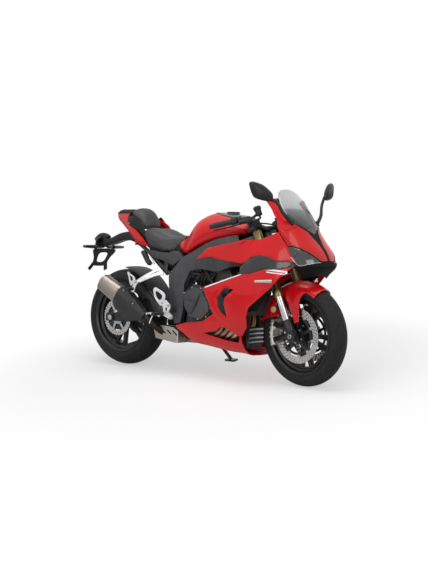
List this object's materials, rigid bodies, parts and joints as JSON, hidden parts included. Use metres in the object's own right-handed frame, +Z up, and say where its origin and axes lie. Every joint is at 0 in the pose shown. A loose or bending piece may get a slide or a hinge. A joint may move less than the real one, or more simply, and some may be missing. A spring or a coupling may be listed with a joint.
{
  "type": "sport motorcycle",
  "caption": "Fully faired sport motorcycle on its side stand, with steered front fork, chain drive, side silencer and a stepped two-part seat.",
  "frame": {"origin": "on the ground, under the middle of the parked machine's own box", "axes": "+X towards the front wheel, +Y to the rider's left, +Z up"},
  "size_m": [2.0268, 0.804, 1.2],
  "materials": {
    "tyre": "matt",
    "black_rim": "satin black",
    "disc_steel": "ground",
    "chain_steel": "oiled",
    "gold": "gold anodised",
    "chrome": "polished",
    "dark_metal": "matt dark grey",
    "engine_grey": "matt dark grey",
    "aluminium": "satin",
    "silencer_steel": "brushed",
    "header_steel": "heat tinted",
    "axle_steel": "plain",
    "grip_rubber": "matt",
    "red_panel": "gloss",
    "red_metal": "gloss",
    "gloss_black": "gloss",
    "matt_black": "matt",
    "seat_cover": "grained",
    "smoked_lens": "smoked",
    "screen": "tinted",
    "red_lens": "moulded",
    "clear_lens": "moulded"
  },
  "bodies": {
    "chassis": {"frame": "dark_metal", "engine": "engine_grey", "engine_covers": "engine_grey", "radiator": "aluminium", "exhaust_headers": "header_steel", "exhaust_chamber": "aluminium", "silencer": "silencer_steel", "silencer_shield": "matt_black", "fuel_tank": "red_metal", "tank_cover": "gloss_black", "rider_seat": "seat_cover", "pillion_seat": "seat_cover", "tail_cowl": "red_panel", "tail_lamp": "red_lens", "seat_tray": "matt_black", "side_fairings": "red_panel", "lower_fairings": "red_panel", "belly_pan": "red_panel", "fairing_wings": "gloss_black", "nose_cowl": "red_panel", "headlamps": "smoked_lens", "windscreen": "screen", "inner_panels": "matt_black", "mirrors": "matt_black", "instruments": "matt_black", "swingarm": "dark_metal", "rear_axle": "axle_steel", "shock_absorber": "dark_metal", "rear_mudguard": "matt_black", "chain": "chain_steel", "rear_caliper": "aluminium", "footrests": "aluminium", "plate_hanger": "matt_black", "indicators": "clear_lens", "side_panels": "matt_black"},
    "steering": {"fork_tubes": "gold", "fork_stanchions": "chrome", "fork_feet": "dark_metal", "yokes": "dark_metal", "front_axle": "axle_steel", "front_calipers": "aluminium", "handlebars": "grip_rubber", "hand_controls": "matt_black", "front_mudguard": "red_panel"},
    "front_wheel": {"front_tyre": "tyre", "front_rim": "black_rim", "front_discs": "disc_steel"},
    "rear_wheel": {"rear_tyre": "tyre", "rear_rim": "black_rim", "rear_disc": "disc_steel", "rear_sprocket": "chain_steel"},
    "side_stand": {"side_stand": "dark_metal"}
  },
  "joints": [
    {"name": "steering_turn", "type": "hinge", "parent": "chassis", "child": "steering", "pos_m": [0.48893, -0.06139, 0.70576], "axis": [-0.4157, 0.1423, 0.8983], "range_deg": [-19, 35]},
    {"name": "front_wheel_spin", "type": "hinge", "parent": "steering", "child": "front_wheel", "pos_m": [0.71585, -0.13086, 0.29856], "axis": [0.1268, 0.9871, -0.0978], "continuous": true},
    {"name": "rear_wheel_spin", "type": "hinge", "parent": "chassis", "child": "rear_wheel", "pos_m": [-0.69386, -0.12368, 0.31112], "axis": [0.0002, 0.9877, -0.1564], "continuous": true},
    {"name": "side_stand_fold", "type": "hinge", "parent": "chassis", "child": "side_stand", "pos_m": [-0.13777, 0.01816, 0.23564], "axis": [0.1679, 0.8275, 0.5358], "range_deg": [0, 98]}
  ]
}
